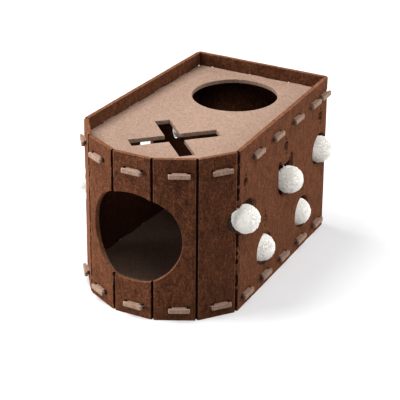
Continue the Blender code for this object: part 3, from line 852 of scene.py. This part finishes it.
def make_thread(name, points):
    curve = bpy.data.curves.new(name, "CURVE")
    curve.dimensions = "3D"
    curve.bevel_depth = THREAD_RADIUS
    curve.bevel_resolution = THREAD_ROUND_STEPS
    curve.use_fill_caps = True
    curve.resolution_u = THREAD_CURVE_STEPS
    spline = curve.splines.new("BEZIER")
    spline.bezier_points.add(len(points) - 1)
    for knot, point in zip(spline.bezier_points, points):
        knot.co = point
        knot.handle_left_type = "AUTO"
        knot.handle_right_type = "AUTO"
    curve.materials.append(WHITE)
    thread = bpy.data.objects.new(name, curve)
    bpy.context.scene.collection.objects.link(thread)
    return thread


def make_pompoms():
    meshes = [make_yarn_mesh("yarn_" + letter, letter) for letter in POMPOM_MESHES]
    dice = random.Random("turns")
    for order, (side_name, leg_index, row) in enumerate(pompom_rows()):
        leg = LEGS[leg_index]
        distance = on_side(leg_index, row["yarn_station"] * MM)
        node = "pompom_" + side_name + "_" + row["name"]
        middle = leg.point(distance, row["yarn_out"] * MM).to_3d()
        middle.z = row["yarn_z"] * MM
        pompom = bpy.data.objects.new(node + "_yarn", meshes[order % len(meshes)])
        bpy.context.scene.collection.objects.link(pompom)
        pompom.location = middle
        pompom.rotation_mode = "QUATERNION"
        pompom.rotation_quaternion = Quaternion([dice.gauss(0, 1) for _ in range(4)]).normalized()
        route = []
        for from_fold, out_of_face, height in thread_route(row):
            spot = leg.point(on_side(leg_index, from_fold), out_of_face).to_3d()
            spot.z = height
            route.append(spot)
        thread = make_thread(node + "_thread", route)
        for piece in (pompom, thread):
            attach(piece, "root")
        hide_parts(node)


# ---------------------------------------------------------------- stage, light and camera
def make_stage():
    mesh = bpy.data.meshes.new("floor")
    work = bmesh.new()
    bmesh.ops.create_grid(work, x_segments=1, y_segments=1, size=FLOOR_HALF)
    work.to_mesh(mesh)
    work.free()
    made, _, shader, _ = node_chain("pale_floor")
    shader.inputs["Base Color"].default_value = FLOOR_COLOUR
    shader.inputs["Roughness"].default_value = FLOOR_ROUGHNESS
    shader.inputs["Specular IOR Level"].default_value = FLOOR_SPECULAR
    shader.inputs["Emission Color"].default_value = WHITE_LIGHT
    shader.inputs["Emission Strength"].default_value = FLOOR_GLOW
    mesh.materials.append(made)
    floor = bpy.data.objects.new("floor", mesh)
    bpy.context.scene.collection.objects.link(floor)
    floor.location.z = -FLOOR_DROP

    world = bpy.data.worlds.new("studio")
    bpy.context.scene.world = world
    world.use_nodes = True
    backdrop = world.node_tree.nodes["Background"]
    backdrop.inputs["Color"].default_value = WHITE_LIGHT
    backdrop.inputs["Strength"].default_value = STUDIO_LIGHT


def way_to(azimuth, elevation):
    """The direction from the object to a light or the camera, in degrees from the front."""
    around, up = math.radians(azimuth), math.radians(elevation)
    return Vector((math.sin(around) * math.cos(up), -math.cos(around) * math.cos(up), math.sin(up)))


def make_lights():
    """Square soft lights that face the middle of the object."""
    for row in LIGHTS:
        wanted = dict(zip(LIGHT_COLUMNS, row))
        light = bpy.data.lights.new(wanted["name"], "AREA")
        light.size = wanted["size"]
        light.energy = wanted["energy"]
        lamp = bpy.data.objects.new(wanted["name"], light)
        bpy.context.scene.collection.objects.link(lamp)
        back = way_to(wanted["azimuth"], wanted["elevation"])
        lamp.location = Vector((0.0, 0.0, WALL_HEIGHT / 2)) + back * wanted["distance"]
        lamp.rotation_mode = "QUATERNION"
        lamp.rotation_quaternion = (-back).to_track_quat("-Z", "Y")


def make_camera():
    around = math.radians(CAMERA_AZIMUTH)
    back = way_to(CAMERA_AZIMUTH, CAMERA_ELEVATION)
    right = Vector((math.cos(around), math.sin(around), 0.0))
    above = back.cross(right)
    roll = math.radians(CAMERA_ROLL)
    rolled_right = right * math.cos(roll) + above * math.sin(roll)
    rolled_above = above * math.cos(roll) - right * math.sin(roll)
    camera = bpy.data.objects.new("camera", bpy.data.cameras.new("camera"))
    bpy.context.scene.collection.objects.link(camera)
    place = Vector((0.0, FRONT, 0.0)) + rolled_right * CAMERA_RIGHT + rolled_above * CAMERA_UP
    camera.matrix_world = Matrix.Translation(place + back * CAMERA_DISTANCE) @ Matrix(
        (rolled_right, rolled_above, back)).transposed().to_4x4()
    camera.data.sensor_width = SENSOR_MM
    camera.data.lens = FOCAL_PIXELS / PHOTO_PIXELS * SENSOR_MM
    camera.data.clip_end = CAMERA_REACH
    bpy.context.scene.camera = camera
    bpy.context.scene.view_settings.view_transform = "Standard"
    bpy.context.scene.view_settings.look = "High Contrast"


# ---------------------------------------------------------------- the whole scene
make_camera()
wall = make_wall()
top_hole = oval(0.0, FRONT + TOP_HOLE_FROM_FRONT, TOP_HOLE_RADIUS, TOP_HOLE_RADIUS, TOP_HOLE_SIDES)
cross = cross_outline(FRONT + CROSS_FROM_FRONT)
top_panel = make_panel("top_panel", TOP_TABS_ON_SIDE, [top_hole, cross], TOP_PANEL_Z, TOP_PANEL_WAVE)
floor_panel = make_panel("floor_panel", FLOOR_TABS_ON_SIDE, [], FLOOR_PANEL_Z, FLOOR_PANEL_WAVE)
make_pompoms()
make_stage()
make_lights()
